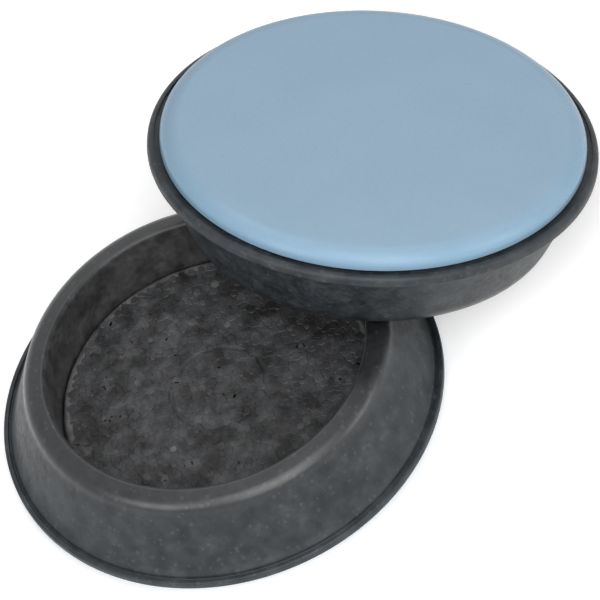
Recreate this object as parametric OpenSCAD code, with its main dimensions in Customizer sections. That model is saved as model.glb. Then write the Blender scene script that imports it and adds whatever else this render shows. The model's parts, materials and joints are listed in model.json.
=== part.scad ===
// Pair of round furniture sliders: one stands cup up, the spare one is turned over and leans on it.
// Millimetres. Origin: middle of the standing slider's glide face, on the floor. +Z up, +X to the spare.

/* [Cup] */
// Diameter over the lip round the base
base_d = 60; // [48:0.5:90]
// Height from the floor to the top of the rim's inner edge
cup_h = 14.5; // [11:0.1:26]
// How far the wall leans in from the lip's edge to the outside of the rim
wall_flare = 4.9; // [4:0.05:8]
// Width of the rim
rim_w = 3.45; // [1.6:0.05:5]
// Rounding of the rim's outer edge
rim_out_round = 2.0; // [0.4:0.05:3]
// Rounding of the rim's inner edge
rim_in_round = 0.6; // [0.2:0.05:1]
// How much lower the rim's outer edge is than its inner edge
rim_fall = 0.25; // [0:0.05:1]
// How much the mouth narrows from the rim down to the floor, on the radius
mouth_taper = 0.1; // [0.1:0.05:2]
// Rubber between the underside recess and the cup's floor
web_t = 1.7; // [1:0.1:4]
// How far the foot of the wall flares out, on the radius
foot_w = 0.65; // [0.2:0.05:1.2]
// Height of the flared foot
foot_h = 0.9; // [0.4:0.1:2]

/* [Base lip] */
// Width of the lip's lower edge, outside the underside recess
lip_edge_w = 0.8; // [0.5:0.05:2]
// Height of the lip's top above the ceiling of the recess
lip_rise = 1.2; // [0.9:0.05:2]
// Depth of the recess that takes the glide disc
recess_depth = 0.3; // [0.2:0.05:1]
// Rounding of the lip's lower outer edge
lip_round = 0.7; // [0.3:0.05:1.2]
// Rounding of the lip's upper outer edge
lip_top_round = 0.25; // [0.1:0.05:0.5]
// Width of the lip's flat top, outside the groove
lip_top_w = 0.6; // [0.5:0.05:2]
// Width of the groove between the lip and the foot of the wall
groove_w = 0.45; // [0.3:0.05:1]
// Depth of the groove between the lip and the foot of the wall
groove_depth = 0.3; // [0.2:0.05:0.7]

/* [Glide disc] */
// Thickness of the glide disc
glide_t = 2.7; // [2:0.1:5]
// Gap all round between the glide disc and the lip
glide_gap = 0.8; // [0.1:0.05:1]
// Width of the disc's rounded lower edge, along the radius
glide_edge_w = 2.6; // [1:0.1:4]
// Height of the disc's rounded lower edge
glide_edge_h = 2.0; // [0.8:0.1:3]
// Small bevel on the disc's hidden upper edge
glide_bevel = 0.2; // [0.1:0.05:0.4]

/* [Grip pad] */
// Thickness of the grip pad
pad_t = 1.5; // [1:0.1:4]
// Gap all round between the grip pad and the cup's wall, at the floor
pad_gap = 0.3; // [0.2:0.05:1.2]
// Rounding of the pad's upper edge
pad_round = 0.6; // [0.2:0.05:0.7]
// Diameter of the moulded ring in the middle of the pad
ring_d = 13; // [8:0.5:20]
// Width of the moulded ring
ring_w = 0.8; // [0.4:0.05:1.5]
// Depth of the moulded ring
ring_depth = 0.15; // [0.1:0.05:0.5]
// Diameter of the gate mark in the very middle
gate_d = 2.4; // [1:0.1:4]
// Depth of the gate mark
gate_depth = 0.2; // [0.1:0.05:0.6]

/* [Bond films] */
// Thickness of each bond film
film_t = 0.2; // [0.1:0.05:0.5]
// How far each film stays inside the edge of the disc or pad that it holds
film_inset = 0.6; // [0.3:0.1:2]

/* [Lean of the spare slider] */
// How far the spare's rim reaches in over the standing slider's rim, between their outsides
lean_overlap = 17.9; // [10:0.1:22]
// Clearance between the two rims where they cross
lean_gap = 0.2; // [0.1:0.05:0.4]

/* [Hidden] */

$fn = 128;
// Straight steps in each rounding of a section
arc_steps = 8;
// Least flat left beside a rounding
least_flat = 0.1;
// Least tilt, in degrees, from which the lean is sought, and how often the range is halved
least_tilt = 1;
tilt_halvings = 40;

// Heights of the stack, from the floor up
recess_z = glide_t + film_t;
lip_bottom_z = recess_z - recess_depth;
lip_top_z = recess_z + lip_rise;
floor_z = recess_z + web_t;
pad_z = floor_z + film_t;
pad_top_z = pad_z + pad_t;

// Radii, from the lip inwards
base_r = base_d / 2;
recess_r = base_r - lip_edge_w;
glide_r = recess_r - glide_gap;
foot_r = base_r - lip_top_w - groove_w;
rim_out_r = base_r - wall_flare;
rim_in_r = rim_out_r - rim_w;
floor_r = rim_in_r - mouth_taper;
pad_r = floor_r - pad_gap;

// Roundings, limited by the walls that they are cut in
rim_in_edge = min(rim_in_round, rim_w / 2 - least_flat);
rim_out_edge = min(rim_out_round, rim_w - rim_in_edge - least_flat);
lip_side_h = lip_top_z - lip_bottom_z - lip_top_round;
lip_low_round = min(lip_round, lip_edge_w - least_flat, lip_side_h - least_flat);
glide_round_h = min(glide_edge_h, glide_t - glide_bevel - least_flat);
pad_edge = min(pad_round, pad_t / 2);

// Points of the wall's section: middles of the rim's roundings, top of the flared foot, corner at the floor
rim_out_mid = [rim_out_r - rim_out_edge, cup_h - rim_fall - rim_out_edge];
rim_in_mid = [rim_in_r + rim_in_edge, cup_h - rim_in_edge];
wall_foot = [foot_r - foot_w, lip_top_z + foot_h];
corner = [floor_r, floor_z];

// The rim's outer and inner edge, each as the middle and the radius of its rounding
rim_edges = [[rim_out_mid, rim_out_edge], [rim_in_mid, rim_in_edge]];

// Points of an elliptical arc in a section, with its ends
function arc(middle, half_w, half_h, from, to) = [
    for (i = [0 : arc_steps])
        let (a = from + (to - from) * i / arc_steps)
        middle + [half_w * cos(a), half_h * sin(a)]
];

// Direction of the straight wall that leaves a point and touches an edge of the rim, on side +1 or -1
function wall_angle(start, edge, side) =
    let (way = edge[0] - start)
    atan2(way[1], way[0]) - side * asin(edge[1] / norm(way));

// The spare rests with its far edge on the floor and on the standing rim at two places, where the rims cross
rim_offset = 2 * rim_out_r - lean_overlap;
// Past this tilt the two rims no longer cross, seen from above
most_tilt = acos(max(rim_offset / rim_in_mid[0] - 1, 0));

// How far an edge of the spare's rim lies below its outer edge, when it is turned over and level
function edge_drop(edge) = edge[0][1] - rim_out_mid[1];

// Height of the middle of the spare's outer edge at a tilt, with its lowest edge on the floor
function lean_height(tilt) = max([
    for (edge = rim_edges)
        edge[0][0] * sin(tilt) + edge_drop(edge) * cos(tilt) + edge[1]
]);

// How much too high an edge of the spare's rim passes over an edge of the standing rim at a tilt
function edge_excess(below, over, tilt) =
    let (
        below_r = below[0][0],
        over_r = over[0][0],
        mid_x = rim_offset - edge_drop(over) * sin(tilt),
        mid_z = lean_height(tilt) - edge_drop(over) * cos(tilt),
        reach = mid_x ^ 2 + over_r ^ 2 - below_r ^ 2,
        level = mid_x * over_r * cos(tilt),
        along = -reach / (level + sqrt(level ^ 2 + reach * (over_r * sin(tilt)) ^ 2)),
        aside = sqrt(1 - along ^ 2),
        below_way = [-over_r * aside, mid_x + over_r * along * cos(tilt), 0],
        over_way = [-aside * cos(tilt), along, aside * sin(tilt)],
        square_way = cross(below_way, over_way),
        rise = norm(square_way) / abs(square_way[2])
    )
    mid_z - over_r * along * sin(tilt) - below[0][1] - (below[1] + over[1] + lean_gap) * rise;

// How much too high the spare's rim passes over the standing rim, where it comes closest
function lean_excess(tilt) = min([
    for (below = rim_edges, over = rim_edges)
        edge_excess(below, over, tilt)
]);

// Tilt at which the spare just rests, found by halving
function lean_angle(low, high, steps) =
    let (half = (low + high) / 2)
    steps == 0 ? half
    : lean_excess(half) > 0 ? lean_angle(low, half, steps - 1)
    : lean_angle(half, high, steps - 1);

lean_tilt = lean_angle(least_tilt, most_tilt, tilt_halvings);
lean_rim_z = lean_height(lean_tilt);

// Puts a slider that is drawn cup up where the spare lies
module lean() {
    translate([rim_offset, 0, lean_rim_z])
        rotate([0, lean_tilt, 0])
            translate([0, 0, rim_out_mid[1]])
                rotate([180, 0, 0])
                    children();
}

module cup() {
    outer_angle = wall_angle(wall_foot, rim_edges[0], 1);
    inner_angle = wall_angle(corner, rim_edges[1], -1);
    top_way = rim_out_mid - rim_in_mid;
    top_angle = atan2(top_way[1], top_way[0]) + acos((rim_in_edge - rim_out_edge) / norm(top_way));
    groove_mid = [foot_r + groove_w / 2, lip_top_z];
    lip_low_mid = [base_r - lip_low_round, lip_bottom_z + lip_low_round];
    lip_top_mid = [base_r - lip_top_round, lip_top_z - lip_top_round];
    section = concat(
        [[0, recess_z], [recess_r, recess_z], [recess_r, lip_bottom_z]],
        arc(lip_low_mid, lip_low_round, lip_low_round, -90, 0),
        arc(lip_top_mid, lip_top_round, lip_top_round, 0, 90),
        arc(groove_mid, groove_w / 2, groove_depth, 0, -180),
        [wall_foot],
        arc(rim_out_mid, rim_out_edge, rim_out_edge, outer_angle - 90, top_angle),
        arc(rim_in_mid, rim_in_edge, rim_in_edge, top_angle, inner_angle + 90),
        [corner, [0, floor_z]]
    );
    color("#2e3033")
        rotate_extrude()
            polygon(section);
}

module glide_disc() {
    edge_mid = [glide_r - glide_edge_w, glide_round_h];
    section = concat(
        [[0, 0]],
        arc(edge_mid, glide_edge_w, glide_round_h, -90, 0),
        [[glide_r, glide_t - glide_bevel], [glide_r - glide_bevel, glide_t], [0, glide_t]]
    );
    color("#98adc1")
        rotate_extrude()
            polygon(section);
}

module glide_adhesive() {
    color("#d9d2bf")
        translate([0, 0, glide_t])
            cylinder(h = film_t, r = glide_r - film_inset);
}

module grip_pad() {
    edge_mid = [pad_r - pad_edge, pad_top_z - pad_edge];
    section = concat(
        [[0, pad_z], [pad_r, pad_z]],
        arc(edge_mid, pad_edge, pad_edge, 0, 90),
        arc([ring_d / 2, pad_top_z], ring_w / 2, ring_depth, 0, -180),
        arc([0, pad_top_z], gate_d / 2, gate_depth, 0, -90)
    );
    color("#454648")
        rotate_extrude()
            polygon(section);
}

module grip_adhesive() {
    color("#d9d2bf")
        translate([0, 0, floor_z])
            cylinder(h = film_t, r = pad_r - film_inset);
}

module spare_cup() { lean() cup(); }
module spare_glide_disc() { lean() glide_disc(); }
module spare_glide_adhesive() { lean() glide_adhesive(); }
module spare_grip_pad() { lean() grip_pad(); }
module spare_grip_adhesive() { lean() grip_adhesive(); }

cup();
glide_disc();
glide_adhesive();
grip_pad();
grip_adhesive();
spare_cup();
spare_glide_disc();
spare_glide_adhesive();
spare_grip_pad();
spare_grip_adhesive();
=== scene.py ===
"""Dresses a pair of round furniture sliders: rubber cups, pressed-crumb grip pads and hard glide discs."""
import json
import math

import bpy
from mathutils import Matrix, Vector


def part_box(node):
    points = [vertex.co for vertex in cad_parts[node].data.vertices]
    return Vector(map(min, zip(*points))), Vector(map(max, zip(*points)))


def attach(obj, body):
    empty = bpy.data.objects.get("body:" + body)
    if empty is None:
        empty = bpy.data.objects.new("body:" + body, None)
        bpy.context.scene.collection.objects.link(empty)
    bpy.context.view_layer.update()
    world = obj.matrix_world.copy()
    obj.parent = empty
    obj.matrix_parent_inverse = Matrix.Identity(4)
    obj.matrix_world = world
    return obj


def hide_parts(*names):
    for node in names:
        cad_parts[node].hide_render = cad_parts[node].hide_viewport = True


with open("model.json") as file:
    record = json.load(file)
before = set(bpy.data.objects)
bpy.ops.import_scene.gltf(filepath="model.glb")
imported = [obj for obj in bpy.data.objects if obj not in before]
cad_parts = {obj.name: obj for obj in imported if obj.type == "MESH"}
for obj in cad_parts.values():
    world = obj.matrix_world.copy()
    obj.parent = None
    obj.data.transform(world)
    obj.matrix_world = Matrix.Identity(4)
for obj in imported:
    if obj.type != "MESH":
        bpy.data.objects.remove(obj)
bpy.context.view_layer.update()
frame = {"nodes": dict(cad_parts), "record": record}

MM = 0.001
MOUNTS = {mount["name"]: mount for mount in frame["record"]["mounts"]}

# Corners of the frame's solids, in millimetres
CUP_LOW, CUP_HIGH = (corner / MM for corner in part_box("cup"))
PAD_LOW, PAD_HIGH = (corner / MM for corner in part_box("grip_pad"))
DISC_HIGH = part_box("glide_disc")[1] / MM
FILM_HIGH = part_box("glide_adhesive")[1] / MM
SEAT_FILM_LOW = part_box("grip_adhesive")[0] / MM

# Sizes that these corners give
BASE_R = CUP_HIGH.x
CUP_H = CUP_HIGH.z
LIP_BOTTOM_Z = CUP_LOW.z
RECESS_Z = FILM_HIGH.z
FLOOR_Z = SEAT_FILM_LOW.z
DISC_R = DISC_HIGH.x
DISC_T = DISC_HIGH.z
PAD_R = PAD_HIGH.x
PAD_Z = PAD_LOW.z
PAD_TOP_Z = PAD_HIGH.z

# Sizes within the sections, in millimetres
DISC_GAP = 0.8
WALL_FLARE = 4.9
RIM_W = 3.45
RIM_OUT_ROUND = 2.0
RIM_IN_ROUND = 0.6
RIM_FALL = 0.25
FOOT_W = 0.65
FOOT_H = 0.9
PAD_GAP = 0.3
LIP_RISE = 1.2
LIP_ROUND = 0.7
LIP_TOP_ROUND = 0.25
LIP_TOP_W = 0.6
GROOVE_W = 0.45
GROOVE_DEPTH = 0.3
DISC_EDGE_W = 2.6
DISC_EDGE_H = 2.0
DISC_BEVEL = 0.2
PAD_ROUND = 0.6
RING_R = 6.5
RING_W = 0.8
RING_DEPTH = 0.15
GATE_R = 1.2
GATE_DEPTH = 0.2

# How finely the turned pieces are drawn
TURN_STEPS = 256
ARC_STEPS = 12
SMALL_ARC_STEPS = 6
FLAT_STEPS = 4
FACE_STEPS = 8
BED_STEPS = 10
WALL_STEPS = 12
SHARP_ANGLE = math.radians(35)
ON_AXIS = 1e-6

# Depth of the smooth, glossier band on the rim, whose colour is also painted darker as painted shade, and of
# its fading into the wall, in millimetres
RIM_BAND = 1.4
RIM_FADE = 0.9

# Pressed crumb in the grip pad, in millimetres, and how light its bed and its smooth edge are; the edge's
# lightness is a painted highlight
CRUMB_RELIEF = 0.08
CRUMB_R = 0.7
CRUMB_SPACING = 0.9
CRUMB_TILT = math.radians(3.5)
BEAD_W = 1.1
BED_SHADE = 0.4
BEAD_PAINTED_HIGHLIGHT = 1.0
RING_SHADE = 0.5

# Form of one crumb, how densely crumbs may be tried, and the seeds of the two pads
BED_SIDES = 96
CRUMB_SIDES = 6
CRUMB_TOP_SHARE = 0.8
CRUMB_DEPTH_SHARE = 2
CRUMB_LEAST_STRETCH = (0.6, 0.6, 0.3)
CRUMB_MOST_STRETCH = (1.3, 1.3, 1.0)
CRUMB_TRIES_PER_M2 = 1e8
FIRST_SEED = 3
SEED_STEP = 10

# Mottle: detail of clouds and grain, the range in which a noise mostly lies, which cells carry a speck
CLOUD_DETAIL = 3.0
GRAIN_DETAIL = 2.0
NOISE_LOW = 0.3
NOISE_HIGH = 0.7
SPECK_CELLS = 0.7
SPECK_REACH = 0.5

# White stage, in metres: the floor, how it glows for the camera near the sliders and far off, and the sky
FLOOR_HALF_W = 1.5
FLOOR_DROP = 0.02 * MM
FLOOR_TONE = 0.86
FLOOR_ROUGHNESS = 0.9
NEAR_GLOW, FAR_GLOW = 0.35, 1.0
GLOW_START, GLOW_STOP = 0.12, 0.6
SKY_LIGHT, SKY_SEEN = 0.25, 1.0

# Lamps: name, turn and height in degrees, distance and size in metres, watts; all face one place
LAMPS = (
    ("front_high_lamp", 250, 66, 0.60, 0.44, 1.6),
    ("front_low_lamp", 248, 37, 0.60, 0.44, 1.65),
    ("left_lamp", 184, 36, 0.80, 0.50, 2.4),
    ("right_lamp", 304, 20, 0.80, 0.40, 1.4),
    ("back_lamp", 59, 62, 0.80, 0.24, 0.5),
)
LAMP_AIM = Vector((20, 0, 10)) * MM

# The photograph's view: distance, height and turn of the camera, and where the origin falls in the picture
PICTURE = 600
SENSOR_W = 36.0
VIEW_DISTANCE = 1200 * MM
VIEW_HEIGHT = math.radians(51.316)
VIEW_TURN = math.radians(30.944)
VIEW_ROLL = math.radians(21.179)
ORIGIN_PIXEL = (229.47, 414.29)
BASE_R_PIXELS = 225.42
CLIP_START, CLIP_END = 0.05, 10


def arc(middle, half_w, half_h, start, stop, steps=ARC_STEPS):
    """Points of an elliptical arc in a section, with its ends."""
    points = []
    for i in range(steps + 1):
        angle = math.radians(start + (stop - start) * i / steps)
        points.append((middle[0] + half_w * math.cos(angle), middle[1] + half_h * math.sin(angle)))
    return points


def line(start, stop, steps):
    """Points along a straight stretch of a section, without its ends."""
    return [
        (start[0] + (stop[0] - start[0]) * i / steps, start[1] + (stop[1] - start[1]) * i / steps)
        for i in range(1, steps)
    ]


def wall_angle(start, middle, rounding, side):
    """Direction in degrees of the straight wall that leaves start and touches a rounding of the rim."""
    way = (middle[0] - start[0], middle[1] - start[1])
    lean = math.asin(rounding / math.hypot(*way))
    return math.degrees(math.atan2(way[1], way[0]) - side * lean)


def rim_angle(rim_out, rim_in):
    """Direction in degrees that the rim's sloping top faces, between its two roundings."""
    way = (rim_out[0] - rim_in[0], rim_out[1] - rim_in[1])
    spread = math.acos((RIM_IN_ROUND - RIM_OUT_ROUND) / math.hypot(*way))
    return math.degrees(math.atan2(way[1], way[0]) + spread)


def cup_section():
    """Half section of the rubber cup, from the underside round the lip and the rim to the floor's middle."""
    recess_r = DISC_R + DISC_GAP
    lip_top_z = RECESS_Z + LIP_RISE
    foot_r = BASE_R - LIP_TOP_W - GROOVE_W
    wall_foot = (foot_r - FOOT_W, lip_top_z + FOOT_H)
    rim_out_r = BASE_R - WALL_FLARE
    rim_out = (rim_out_r - RIM_OUT_ROUND, CUP_H - RIM_FALL - RIM_OUT_ROUND)
    rim_in = (rim_out_r - RIM_W + RIM_IN_ROUND, CUP_H - RIM_IN_ROUND)
    corner = (PAD_R + PAD_GAP, FLOOR_Z)
    lip_low = arc((BASE_R - LIP_ROUND, LIP_BOTTOM_Z + LIP_ROUND), LIP_ROUND, LIP_ROUND, -90, 0)
    lip_top_middle = (BASE_R - LIP_TOP_ROUND, lip_top_z - LIP_TOP_ROUND)
    lip_top = arc(lip_top_middle, LIP_TOP_ROUND, LIP_TOP_ROUND, 0, 90, SMALL_ARC_STEPS)
    groove = arc((foot_r + GROOVE_W / 2, lip_top_z), GROOVE_W / 2, GROOVE_DEPTH, 0, -180)
    top_angle = rim_angle(rim_out, rim_in)
    outer_angle = wall_angle(wall_foot, rim_out, RIM_OUT_ROUND, 1) - 90
    inner_angle = wall_angle(corner, rim_in, RIM_IN_ROUND, -1) + 90
    rim = arc(rim_out, RIM_OUT_ROUND, RIM_OUT_ROUND, outer_angle, top_angle)
    rim += arc(rim_in, RIM_IN_ROUND, RIM_IN_ROUND, top_angle, inner_angle)
    section = [(0, RECESS_Z)]
    section += line((0, RECESS_Z), (recess_r, RECESS_Z), FLAT_STEPS)
    section += [(recess_r, RECESS_Z), (recess_r, LIP_BOTTOM_Z)]
    section += lip_low + lip_top + groove
    section += line(groove[-1], wall_foot, FLAT_STEPS)
    section += [wall_foot]
    section += line(wall_foot, rim[0], WALL_STEPS)
    section += rim
    section += line(rim[-1], corner, WALL_STEPS)
    section += [corner]
    section += line(corner, (0, FLOOR_Z), FLAT_STEPS)
    section += [(0, FLOOR_Z)]
    return section


def disc_section():
    """Half section of the hard glide disc, its rounded edge down."""
    edge = arc((DISC_R - DISC_EDGE_W, DISC_EDGE_H), DISC_EDGE_W, DISC_EDGE_H, -90, 0, 2 * ARC_STEPS)
    section = [(0, 0)]
    section += line((0, 0), edge[0], FACE_STEPS)
    section += edge
    section += [(DISC_R, DISC_T - DISC_BEVEL), (DISC_R - DISC_BEVEL, DISC_T), (0, DISC_T)]
    return section


def pad_section():
    """Half section of the grip pad under its crumb: rounded edge, moulded ring and gate mark."""
    bed_z = PAD_TOP_Z - CRUMB_RELIEF
    bead_fall = BEAD_W - PAD_ROUND
    section = [(0, PAD_Z), (PAD_R, PAD_Z)]
    section += arc((PAD_R - PAD_ROUND, PAD_TOP_Z - PAD_ROUND), PAD_ROUND, PAD_ROUND, 0, 90)
    section += arc((PAD_R - PAD_ROUND, bed_z), bead_fall, CRUMB_RELIEF, 90, 180, SMALL_ARC_STEPS)[1:]
    section += line((PAD_R - BEAD_W, bed_z), (RING_R + RING_W / 2, bed_z), BED_STEPS)
    section += arc((RING_R, bed_z), RING_W / 2, RING_DEPTH, 0, -180)
    section += line((RING_R - RING_W / 2, bed_z), (GATE_R, bed_z), FLAT_STEPS)
    section += arc((0, bed_z), GATE_R, GATE_DEPTH, 0, -90)
    return section


def turned_piece(name, section):
    """A solid of revolution about Z from a half section in millimetres that starts and ends on the axis."""
    inner = [point for point in section if point[0] > ON_AXIS]
    vertices = [(0, 0, section[0][1] * MM)]
    for radius, height in inner:
        for step in range(TURN_STEPS):
            angle = 2 * math.pi * step / TURN_STEPS
            vertices.append((radius * math.cos(angle) * MM, radius * math.sin(angle) * MM, height * MM))
    vertices.append((0, 0, section[-1][1] * MM))
    last = len(vertices) - 1
    faces = []
    for step in range(TURN_STEPS):
        after = (step + 1) % TURN_STEPS
        faces.append((0, 1 + after, 1 + step))
        for ring in range(len(inner) - 1):
            low = 1 + ring * TURN_STEPS
            high = low + TURN_STEPS
            faces.append((low + step, low + after, high + after, high + step))
        top = 1 + (len(inner) - 1) * TURN_STEPS
        faces.append((top + step, top + after, last))
    mesh = bpy.data.meshes.new(name)
    mesh.from_pydata(vertices, [], faces)
    mesh.validate()
    mesh.shade_smooth()
    mesh.set_sharp_from_angle(angle=SHARP_ANGLE)
    piece = bpy.data.objects.new(name, mesh)
    bpy.context.scene.collection.objects.link(piece)
    return piece


def math_maker(tree):
    """A function that adds a Math node to a tree and gives its output; its inputs are numbers or sockets."""
    def math_node(operation, first, second):
        node = tree.nodes.new("ShaderNodeMath")
        node.operation = operation
        for socket, value in zip(node.inputs, (first, second)):
            if isinstance(value, (int, float)):
                socket.default_value = value
            else:
                tree.links.new(value, socket)
        return node.outputs[0]

    return math_node


def map_range(tree, source, low, high, to_low, to_high):
    """Adds a node to a tree that maps a value from one range to another, and gives its output."""
    node = tree.nodes.new("ShaderNodeMapRange")
    for label, value in zip(("From Min", "From Max", "To Min", "To Max"), (low, high, to_low, to_high)):
        node.inputs[label].default_value = value
    tree.links.new(source, node.inputs["Value"])
    return node.outputs["Result"]


def crumb_tree(material):
    """Geometry Nodes that strew pressed crumbs over a round bed, clear of its ring and gate mark."""
    tree = bpy.data.node_groups.new("pressed_crumb", "GeometryNodeTree")
    sockets = tree.interface
    for label in ("Bed radius", "Bed height", "Spacing", "Crumb radius", "Relief", "Tilt",
                  "Ring radius", "Ring width", "Gate radius"):
        sockets.new_socket(label, in_out="INPUT", socket_type="NodeSocketFloat")
    sockets.new_socket("Seed", in_out="INPUT", socket_type="NodeSocketInt")
    sockets.new_socket("Geometry", in_out="OUTPUT", socket_type="NodeSocketGeometry")

    def add(kind, **settings):
        node = tree.nodes.new(kind)
        for key, value in settings.items():
            setattr(node, key, value)
        return node

    def join(source, target):
        tree.links.new(source, target)

    math_node = math_maker(tree)
    given = add("NodeGroupInput").outputs
    bed = add("GeometryNodeMeshCircle", fill_type="NGON")
    bed.inputs["Vertices"].default_value = BED_SIDES
    join(given["Bed radius"], bed.inputs["Radius"])
    strew = add("GeometryNodeDistributePointsOnFaces", distribute_method="POISSON")
    strew.inputs["Density Max"].default_value = CRUMB_TRIES_PER_M2
    join(bed.outputs["Mesh"], strew.inputs["Mesh"])
    join(given["Spacing"], strew.inputs["Distance Min"])
    join(given["Seed"], strew.inputs["Seed"])

    place = add("GeometryNodeInputPosition")
    reach = add("ShaderNodeVectorMath", operation="LENGTH")
    join(place.outputs[0], reach.inputs[0])
    from_ring = math_node("ABSOLUTE", math_node("SUBTRACT", reach.outputs["Value"], given["Ring radius"]), 0)
    in_ring = math_node("LESS_THAN", from_ring, given["Ring width"])
    in_gate = math_node("LESS_THAN", reach.outputs["Value"], given["Gate radius"])
    clear = add("GeometryNodeDeleteGeometry", domain="POINT")
    join(strew.outputs["Points"], clear.inputs["Geometry"])
    join(math_node("MAXIMUM", in_ring, in_gate), clear.inputs["Selection"])

    crumb = add("GeometryNodeMeshCone", fill_type="NGON")
    crumb.inputs["Vertices"].default_value = CRUMB_SIDES
    join(given["Crumb radius"], crumb.inputs["Radius Bottom"])
    join(math_node("MULTIPLY", given["Crumb radius"], CRUMB_TOP_SHARE), crumb.inputs["Radius Top"])
    join(math_node("MULTIPLY", given["Relief"], CRUMB_DEPTH_SHARE), crumb.inputs["Depth"])

    turn = add("FunctionNodeRandomValue", data_type="FLOAT_VECTOR")
    low = add("ShaderNodeCombineXYZ")
    high = add("ShaderNodeCombineXYZ")
    for axis in ("X", "Y"):
        join(math_node("MULTIPLY", given["Tilt"], -1), low.inputs[axis])
        join(given["Tilt"], high.inputs[axis])
    high.inputs["Z"].default_value = 2 * math.pi
    join(low.outputs[0], turn.inputs["Min"])
    join(high.outputs[0], turn.inputs["Max"])
    join(given["Seed"], turn.inputs["Seed"])
    stretch = add("FunctionNodeRandomValue", data_type="FLOAT_VECTOR")
    stretch.inputs["Min"].default_value = CRUMB_LEAST_STRETCH
    stretch.inputs["Max"].default_value = CRUMB_MOST_STRETCH
    join(math_node("ADD", given["Seed"], 1), stretch.inputs["Seed"])

    lay = add("GeometryNodeInstanceOnPoints")
    join(clear.outputs["Geometry"], lay.inputs["Points"])
    join(crumb.outputs["Mesh"], lay.inputs["Instance"])
    join(turn.outputs["Value"], lay.inputs["Rotation"])
    join(stretch.outputs["Value"], lay.inputs["Scale"])
    shade = add("FunctionNodeRandomValue", data_type="FLOAT")
    join(math_node("ADD", given["Seed"], 2), shade.inputs["Seed"])
    keep = add("GeometryNodeStoreNamedAttribute", data_type="FLOAT", domain="INSTANCE")
    keep.inputs["Name"].default_value = "crumb_tone_and_edge_highlight"
    join(lay.outputs["Instances"], keep.inputs["Geometry"])
    join(shade.outputs[1], keep.inputs["Value"])
    real = add("GeometryNodeRealizeInstances")
    join(keep.outputs["Geometry"], real.inputs["Geometry"])

    # Presses every crumb level with the pad's top
    split = add("ShaderNodeSeparateXYZ")
    press = add("ShaderNodeCombineXYZ")
    join(place.outputs[0], split.inputs[0])
    join(split.outputs["X"], press.inputs["X"])
    join(split.outputs["Y"], press.inputs["Y"])
    join(math_node("MINIMUM", split.outputs["Z"], given["Relief"]), press.inputs["Z"])
    level = add("GeometryNodeSetPosition")
    join(real.outputs["Geometry"], level.inputs["Geometry"])
    join(press.outputs[0], level.inputs["Position"])
    lift = add("GeometryNodeTransform")
    height = add("ShaderNodeCombineXYZ")
    join(given["Bed height"], height.inputs["Z"])
    join(height.outputs[0], lift.inputs["Translation"])
    join(level.outputs["Geometry"], lift.inputs["Geometry"])
    finish = add("GeometryNodeSetMaterial")
    finish.inputs["Material"].default_value = material
    join(lift.outputs["Geometry"], finish.inputs["Geometry"])
    result = add("NodeGroupOutput")
    join(finish.outputs["Geometry"], result.inputs[0])
    return tree


def crumb_piece(name, tree, seed):
    """Runs the crumb tree once and keeps its result as a plain mesh."""
    values = {
        "Bed radius": (PAD_R - BEAD_W) * MM,
        "Bed height": (PAD_TOP_Z - CRUMB_RELIEF) * MM,
        "Spacing": CRUMB_SPACING * MM,
        "Crumb radius": CRUMB_R * MM,
        "Relief": CRUMB_RELIEF * MM,
        "Tilt": CRUMB_TILT,
        "Ring radius": RING_R * MM,
        "Ring width": RING_W / 2 * MM,
        "Gate radius": GATE_R * MM,
        "Seed": seed,
    }
    maker = bpy.data.objects.new(name + "_maker", bpy.data.meshes.new(name + "_maker"))
    bpy.context.scene.collection.objects.link(maker)
    nodes = maker.modifiers.new("crumb", "NODES")
    nodes.node_group = tree
    for item in tree.interface.items_tree:
        if item.in_out == "INPUT":
            nodes[item.identifier] = values[item.name]
    shown = maker.evaluated_get(bpy.context.evaluated_depsgraph_get())
    mesh = bpy.data.meshes.new_from_object(shown)
    mesh.name = name
    bpy.data.objects.remove(maker)
    piece = bpy.data.objects.new(name, mesh)
    bpy.context.scene.collection.objects.link(piece)
    return piece


def mottle_group():
    """Shader group: soft clouds, a fine grain and scattered small specks, each with its own size."""
    group = bpy.data.node_groups.new("mottle", "ShaderNodeTree")
    sockets = group.interface
    sockets.new_socket("Vector", in_out="INPUT", socket_type="NodeSocketVector")
    for label in ("Cloud", "Grain", "Speck"):
        sockets.new_socket(label + " size", in_out="INPUT", socket_type="NodeSocketFloat")
        sockets.new_socket(label, in_out="OUTPUT", socket_type="NodeSocketFloat")
    given = group.nodes.new("NodeGroupInput").outputs
    result = group.nodes.new("NodeGroupOutput").inputs
    math_node = math_maker(group)

    def texture(kind, label):
        node = group.nodes.new(kind)
        group.links.new(given["Vector"], node.inputs["Vector"])
        group.links.new(math_node("DIVIDE", 1.0, given[label + " size"]), node.inputs["Scale"])
        return node

    for label, detail in (("Cloud", CLOUD_DETAIL), ("Grain", GRAIN_DETAIL)):
        noise = texture("ShaderNodeTexNoise", label)
        noise.inputs["Detail"].default_value = detail
        group.links.new(noise.outputs["Fac"], result[label])
    cells = texture("ShaderNodeTexVoronoi", "Speck")
    chosen = group.nodes.new("ShaderNodeSeparateColor")
    group.links.new(cells.outputs["Color"], chosen.inputs["Color"])
    reach = math_node("MULTIPLY", chosen.outputs["Green"], SPECK_REACH)
    near = math_node("LESS_THAN", cells.outputs["Distance"], reach)
    speck = math_node("MULTIPLY", near, math_node("GREATER_THAN", chosen.outputs["Red"], SPECK_CELLS))
    group.links.new(speck, result["Speck"])
    return group


def grey(value):
    """A neutral colour."""
    return (value, value, value)


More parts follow.
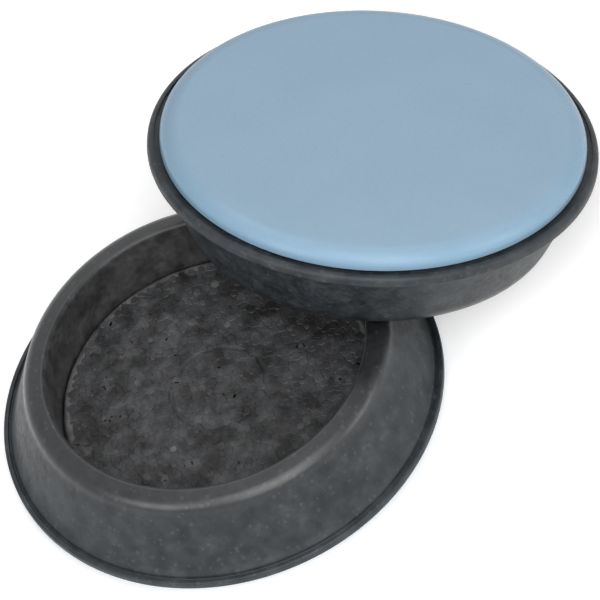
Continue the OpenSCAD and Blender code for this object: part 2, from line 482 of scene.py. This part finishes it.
class Finish:
    """A material in the making: a Principled BSDF with mottle from the shared group."""

    def __init__(self, name, mottle, cloud_size, grain_size, speck_size):
        self.material = bpy.data.materials.new(name)
        self.material.use_nodes = True
        self.nodes = self.material.node_tree.nodes
        self.links = self.material.node_tree.links
        self.shader = self.nodes["Principled BSDF"]
        place = self.nodes.new("ShaderNodeTexCoord")
        self.mottle = self.nodes.new("ShaderNodeGroup")
        self.mottle.node_tree = mottle
        for label, size in (("Cloud", cloud_size), ("Grain", grain_size), ("Speck", speck_size)):
            self.mottle.inputs[label + " size"].default_value = size * MM
        self.links.new(place.outputs["Object"], self.mottle.inputs["Vector"])

    def ramp(self, source, stops):
        """A colour ramp over a value, with stops given as (place, colour)."""
        ramp = self.nodes.new("ShaderNodeValToRGB")
        bands = ramp.color_ramp.elements
        while len(bands) < len(stops):
            bands.new(0.5)
        for band, (place, colour) in zip(bands, stops):
            band.position = place
            band.color = (*colour, 1)
        self.links.new(source, ramp.inputs["Fac"])
        return ramp.outputs["Color"]

    def tones(self, noise, dark, light):
        """Two colours over the range in which a noise mostly lies."""
        return self.ramp(noise, [(NOISE_LOW, dark), (NOISE_HIGH, light)])

    def flecks(self, speck, colour):
        """A colour on the specks, and black beside them."""
        return self.ramp(speck, [(0.0, grey(0.0)), (1.0, colour)])

    def span(self, source, low, high, to_low, to_high):
        """Maps a value from one range to another."""
        return map_range(self.material.node_tree, source, low, high, to_low, to_high)

    def level(self, noise, low, high):
        """Two values over the range in which a noise mostly lies."""
        return self.span(noise, NOISE_LOW, NOISE_HIGH, low, high)

    def blend(self, first, second, share, how="MIX"):
        """Mixes two colours; share is a number or a socket."""
        node = self.nodes.new("ShaderNodeMix")
        node.data_type = "RGBA"
        node.blend_type = how
        if isinstance(share, (int, float)):
            node.inputs["Factor"].default_value = share
        else:
            self.links.new(share, node.inputs["Factor"])
        self.links.new(first, node.inputs[6])
        self.links.new(second, node.inputs[7])
        return node.outputs[2]

    def bump(self, source, depth, strength):
        """Bump from a height, depth in millimetres."""
        node = self.nodes.new("ShaderNodeBump")
        node.inputs["Distance"].default_value = depth * MM
        node.inputs["Strength"].default_value = strength
        self.links.new(source, node.inputs["Height"])
        self.links.new(node.outputs["Normal"], self.shader.inputs["Normal"])

    def mask(self, name):
        """A value that the mesh carries under a name."""
        node = self.nodes.new("ShaderNodeAttribute")
        node.attribute_name = name
        return node.outputs["Fac"]

    def feed(self, label, source):
        """Joins a value or colour that changes over the surface to the shader."""
        self.links.new(source, self.shader.inputs[label])

    def fix(self, label, value):
        """Sets a value that is the same all over the surface."""
        self.shader.inputs[label].default_value = value


def rubber_finish(mottle):
    """Black moulded rubber: satin, clouded, grained and here and there flecked, glossier on the rim; painted
    lighter inside the cup as painted fill light, and painted darker on the rim top as painted shade.
    """
    finish = Finish("moulded_rubber", mottle, cloud_size=2.8, grain_size=0.8, speck_size=0.7)
    cloud, grain, speck = (finish.mottle.outputs[label] for label in ("Cloud", "Grain", "Speck"))
    rim = finish.mask("rim_band")
    base = finish.tones(cloud, (0.007, 0.010, 0.013), (0.032, 0.038, 0.043))
    shade = finish.tones(grain, grey(0.7), grey(1.15))
    base = finish.blend(base, shade, 1.0, "MULTIPLY")
    light = finish.flecks(speck, (0.015, 0.016, 0.017))
    base = finish.blend(base, light, 1.0, "ADD")
    # Painted fill light: the wall and floor inside the cup are painted lighter than the outer wall, to lift
    # their shade.
    painted_fill_colour = finish.tones(cloud, (0.024, 0.024, 0.025), (0.070, 0.070, 0.072))
    painted_fill_colour = finish.blend(painted_fill_colour, shade, 1.0, "MULTIPLY")
    base = finish.blend(base, painted_fill_colour, finish.mask("mouth"))
    # Painted shade: the rim top's colour is painted darker than the wall's; the coat and lower roughness
    # below give it real gloss.
    smooth = finish.tones(cloud, (0.003, 0.004, 0.005), (0.012, 0.014, 0.016))
    smooth = finish.blend(smooth, shade, 1.0, "MULTIPLY")
    smooth = finish.blend(smooth, light, 1.0, "ADD")
    finish.feed("Base Color", finish.blend(base, smooth, rim))
    rough = finish.tones(grain, grey(0.42), grey(0.58))
    even = finish.tones(grain, grey(0.28), grey(0.42))
    finish.feed("Roughness", finish.blend(rough, even, rim))
    finish.fix("Specular IOR Level", 0.35)
    finish.feed("Coat Weight", finish.span(rim, low=0.0, high=1.0, to_low=0.0, to_high=0.45))
    finish.fix("Coat Roughness", 0.35)
    finish.bump(grain, depth=0.05, strength=0.5)
    return finish.material


def crumb_finish(mottle):
    """Pressed rubber crumb: each crumb has its own shade, in clouds, with a grain and light flecks; the pad's
    smooth edge is painted lighter as a painted highlight.
    """
    finish = Finish("pressed_crumb", mottle, cloud_size=2.6, grain_size=0.5, speck_size=0.7)
    cloud, grain, speck = (finish.mottle.outputs[label] for label in ("Cloud", "Grain", "Speck"))
    # The lightest stop colours a few light crumbs and the painted highlight on the pad's smooth edge.
    base = finish.ramp(finish.mask("crumb_tone_and_edge_highlight"), [
        (0.0, (0.030, 0.030, 0.031)),
        (0.5, (0.040, 0.041, 0.043)),
        (0.97, (0.050, 0.051, 0.053)),
        (1.0, (0.085, 0.085, 0.087)),
    ])
    tone = finish.ramp(cloud, [(0.35, grey(0.40)), (0.65, grey(1.4))])
    base = finish.blend(base, tone, 1.0, "MULTIPLY")
    light = finish.flecks(speck, (0.018, 0.018, 0.019))
    finish.feed("Base Color", finish.blend(base, light, 1.0, "ADD"))
    finish.feed("Roughness", finish.level(grain, 0.50, 0.60))
    finish.fix("Specular IOR Level", 0.25)
    finish.bump(grain, depth=0.05, strength=0.15)
    return finish.material


def glide_finish(mottle):
    """Hard blue-grey low-friction plastic, smooth and satin; its rounded edge is painted darker and a little
    bluer as painted shade.
    """
    finish = Finish("glide_plastic", mottle, cloud_size=9.0, grain_size=0.25, speck_size=1.0)
    cloud, grain = (finish.mottle.outputs[label] for label in ("Cloud", "Grain"))
    face = finish.tones(cloud, (0.262, 0.381, 0.492), (0.278, 0.399, 0.514))
    # Painted shade: the rounded edge is painted darker and a little bluer than the flat face.
    edge = finish.tones(cloud, (0.192, 0.310, 0.415), (0.204, 0.325, 0.434))
    finish.feed("Base Color", finish.blend(face, edge, finish.mask("disc_edge_painted_shade")))
    finish.feed("Roughness", finish.level(grain, 0.26, 0.34))
    finish.fix("Specular IOR Level", 0.22)
    finish.bump(grain, depth=0.01, strength=0.15)
    return finish.material


def bond_finish(mottle):
    """Cured bond film, pale and a little cloudy."""
    finish = Finish("bond_film", mottle, cloud_size=3.0, grain_size=0.3, speck_size=1.0)
    cloud, grain = (finish.mottle.outputs[label] for label in ("Cloud", "Grain"))
    finish.feed("Base Color", finish.tones(cloud, (0.55, 0.50, 0.40), (0.68, 0.63, 0.52)))
    finish.feed("Roughness", finish.level(grain, 0.4, 0.6))
    return finish.material


def mark(piece, name, value_at):
    """Stores a value on every point of a turned piece, from the point's radius and height in millimetres."""
    values = piece.data.attributes.new(name, "FLOAT", "POINT").data
    for vertex, item in zip(piece.data.vertices, values):
        item.value = value_at(vertex.co.xy.length / MM, vertex.co.z / MM)


def share(value, low, high):
    """Where a value lies between two others, from 0 to 1."""
    return min(max((value - low) / (high - low), 0.0), 1.0)


def rim_band(radius, height):
    """1 on the smooth rim, fading to 0 on the walls below it; this band gets real gloss and painted shade."""
    top = CUP_H - RIM_BAND
    inside = BASE_R - WALL_FLARE - RIM_W
    return share(height, top - RIM_FADE, top) * share(radius, inside, inside + RIM_IN_ROUND)


def mouth(radius, height):
    """1 on the wall and floor inside the cup, where the rubber is painted lighter as painted fill light."""
    return float(radius < PAD_R + 2 * PAD_GAP and height > PAD_Z - RIM_FADE)


def disc_edge_painted_shade(radius, height):
    """1 at the outside of the disc's rounded edge, fading to 0 on its flat face: where the painted shade on
    the edge goes.
    """
    return share(radius, DISC_R - DISC_EDGE_W, DISC_R)


def pad_tone_and_edge_highlight(radius, height):
    """Painted highlight on the pad's smooth edge, middling in its ring, dark in the bed between its crumbs.
    """
    # Painted highlight: the smooth edge of the pad takes the lightest tone.
    if radius > PAD_R - BEAD_W:
        return BEAD_PAINTED_HIGHLIGHT
    return RING_SHADE if abs(radius - RING_R) < RING_W else BED_SHADE


def spare_place():
    """Where the turned-over spare lies: its glide face's middle, facing along that face's normal."""
    mount = MOUNTS["spare_glide_face"]
    up = Vector(mount["axis"]).normalized()
    across = Vector((0, -1, 0))
    along = across.cross(-up)
    turn = Matrix((along, across, -up)).transposed().to_4x4()
    return Matrix.Translation(mount["pos_m"]) @ turn


def dress(piece, body, node, material, place):
    """Puts a finished piece in its place, on its body, instead of its solid."""
    piece.data.transform(place)
    if material:
        piece.data.materials.clear()
        piece.data.materials.append(material)
    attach(piece, body)
    if node:
        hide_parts(node)


def build_sliders(finishes):
    """Both sliders, piece by piece."""
    tree = crumb_tree(finishes["crumb"])
    sliders = (("", "standing_slider", Matrix.Identity(4)), ("spare_", "spare_slider", spare_place()))
    for order, (prefix, body, place) in enumerate(sliders):
        cup = turned_piece(prefix + "rubber_cup", cup_section())
        mark(cup, "rim_band", rim_band)
        mark(cup, "mouth", mouth)
        dress(cup, body, prefix + "cup", finishes["rubber"], place)
        disc = turned_piece(prefix + "hard_disc", disc_section())
        mark(disc, "disc_edge_painted_shade", disc_edge_painted_shade)
        dress(disc, body, prefix + "glide_disc", finishes["glide"], place)
        pad = turned_piece(prefix + "pad_bed", pad_section())
        mark(pad, "crumb_tone_and_edge_highlight", pad_tone_and_edge_highlight)
        dress(pad, body, prefix + "grip_pad", finishes["crumb"], place)
        crumb = crumb_piece(prefix + "pad_crumb", tree, SEED_STEP * order + FIRST_SEED)
        dress(crumb, body, None, None, place)
        for film in ("glide_adhesive", "grip_adhesive"):
            solid = frame["nodes"][prefix + film]
            solid.data.materials.clear()
            solid.data.materials.append(finishes["bond"])


def white_for_viewers(tree):
    """A mask that is 1 for what the camera, a reflection or a clear piece sees."""
    path = tree.nodes.new("ShaderNodeLightPath").outputs
    math_node = math_maker(tree)
    mask = math_node("MAXIMUM", path["Is Camera Ray"], path["Is Glossy Ray"])
    return math_node("MAXIMUM", mask, path["Is Transmission Ray"])


def build_floor():
    """White floor that keeps the shadow by the sliders and is plain white further off."""
    half = FLOOR_HALF_W
    mesh = bpy.data.meshes.new("floor")
    corners = [(-half, -half, 0), (half, -half, 0), (half, half, 0), (-half, half, 0)]
    mesh.from_pydata(corners, [], [(0, 1, 2, 3)])
    floor = bpy.data.objects.new("floor", mesh)
    floor.location.z = -FLOOR_DROP
    bpy.context.scene.collection.objects.link(floor)
    paper = bpy.data.materials.new("white_paper")
    paper.use_nodes = True
    tree = paper.node_tree
    shader = tree.nodes["Principled BSDF"]
    shader.inputs["Base Color"].default_value = (*grey(FLOOR_TONE), 1)
    shader.inputs["Roughness"].default_value = FLOOR_ROUGHNESS
    shader.inputs["Emission Color"].default_value = (1, 1, 1, 1)
    place = tree.nodes.new("ShaderNodeTexCoord")
    away = tree.nodes.new("ShaderNodeVectorMath")
    away.operation = "LENGTH"
    tree.links.new(place.outputs["Object"], away.inputs[0])
    fade = map_range(tree, away.outputs["Value"], GLOW_START, GLOW_STOP, NEAR_GLOW, FAR_GLOW)
    glow = math_maker(tree)("MULTIPLY", white_for_viewers(tree), fade)
    tree.links.new(glow, shader.inputs["Emission Strength"])
    mesh.materials.append(paper)


def build_sky():
    """White surroundings: plain white to the camera and in reflections, a weak even light otherwise."""
    world = bpy.data.worlds.new("white_room")
    bpy.context.scene.world = world
    world.use_nodes = True
    tree = world.node_tree
    sky = tree.nodes["Background"]
    sky.inputs["Color"].default_value = (1, 1, 1, 1)
    strength = map_range(tree, white_for_viewers(tree), 0, 1, SKY_LIGHT, SKY_SEEN)
    tree.links.new(strength, sky.inputs["Strength"])


def build_lamps():
    """Soft round lamps, all facing the place where the sliders meet."""
    for name, turn, height, distance, size, power in LAMPS:
        turn, height = math.radians(turn), math.radians(height)
        way = Vector((math.cos(turn) * math.cos(height), math.sin(turn) * math.cos(height), math.sin(height)))
        light = bpy.data.lights.new(name, "AREA")
        light.shape = "DISK"
        light.size = size
        light.energy = power
        lamp = bpy.data.objects.new(name, light)
        lamp.location = LAMP_AIM + way * distance
        lamp.rotation_euler = way.to_track_quat("Z", "Y").to_euler()
        bpy.context.scene.collection.objects.link(lamp)


def build_camera():
    """The photograph's camera, from its fitted distance, height, turn and roll."""
    focal = BASE_R_PIXELS * VIEW_DISTANCE / (BASE_R * MM)
    level = math.cos(VIEW_HEIGHT)
    back = Vector((-math.sin(VIEW_TURN) * level, -math.cos(VIEW_TURN) * level, math.sin(VIEW_HEIGHT)))
    right = Vector((math.cos(VIEW_TURN), -math.sin(VIEW_TURN), 0))
    up = back.cross(right)
    cos_roll, sin_roll = math.cos(VIEW_ROLL), math.sin(VIEW_ROLL)
    image_right = cos_roll * right - sin_roll * up
    image_up = sin_roll * right + cos_roll * up
    side = (ORIGIN_PIXEL[0] - PICTURE / 2) * VIEW_DISTANCE / focal
    rise = (PICTURE / 2 - ORIGIN_PIXEL[1]) * VIEW_DISTANCE / focal
    spot = back * VIEW_DISTANCE - image_right * side - image_up * rise
    data = bpy.data.cameras.new("photo_view")
    data.sensor_width = SENSOR_W
    data.lens = focal / PICTURE * SENSOR_W
    data.clip_start = CLIP_START
    data.clip_end = CLIP_END
    camera = bpy.data.objects.new("photo_view", data)
    turn = Matrix((image_right, image_up, back)).transposed().to_4x4()
    camera.matrix_world = Matrix.Translation(spot) @ turn
    bpy.context.scene.collection.objects.link(camera)
    bpy.context.scene.camera = camera


def main():
    bpy.context.scene.view_settings.view_transform = "Standard"
    build_camera()
    mottle = mottle_group()
    finishes = {
        "rubber": rubber_finish(mottle),
        "crumb": crumb_finish(mottle),
        "glide": glide_finish(mottle),
        "bond": bond_finish(mottle),
    }
    build_sliders(finishes)
    build_floor()
    build_sky()
    build_lamps()


main()
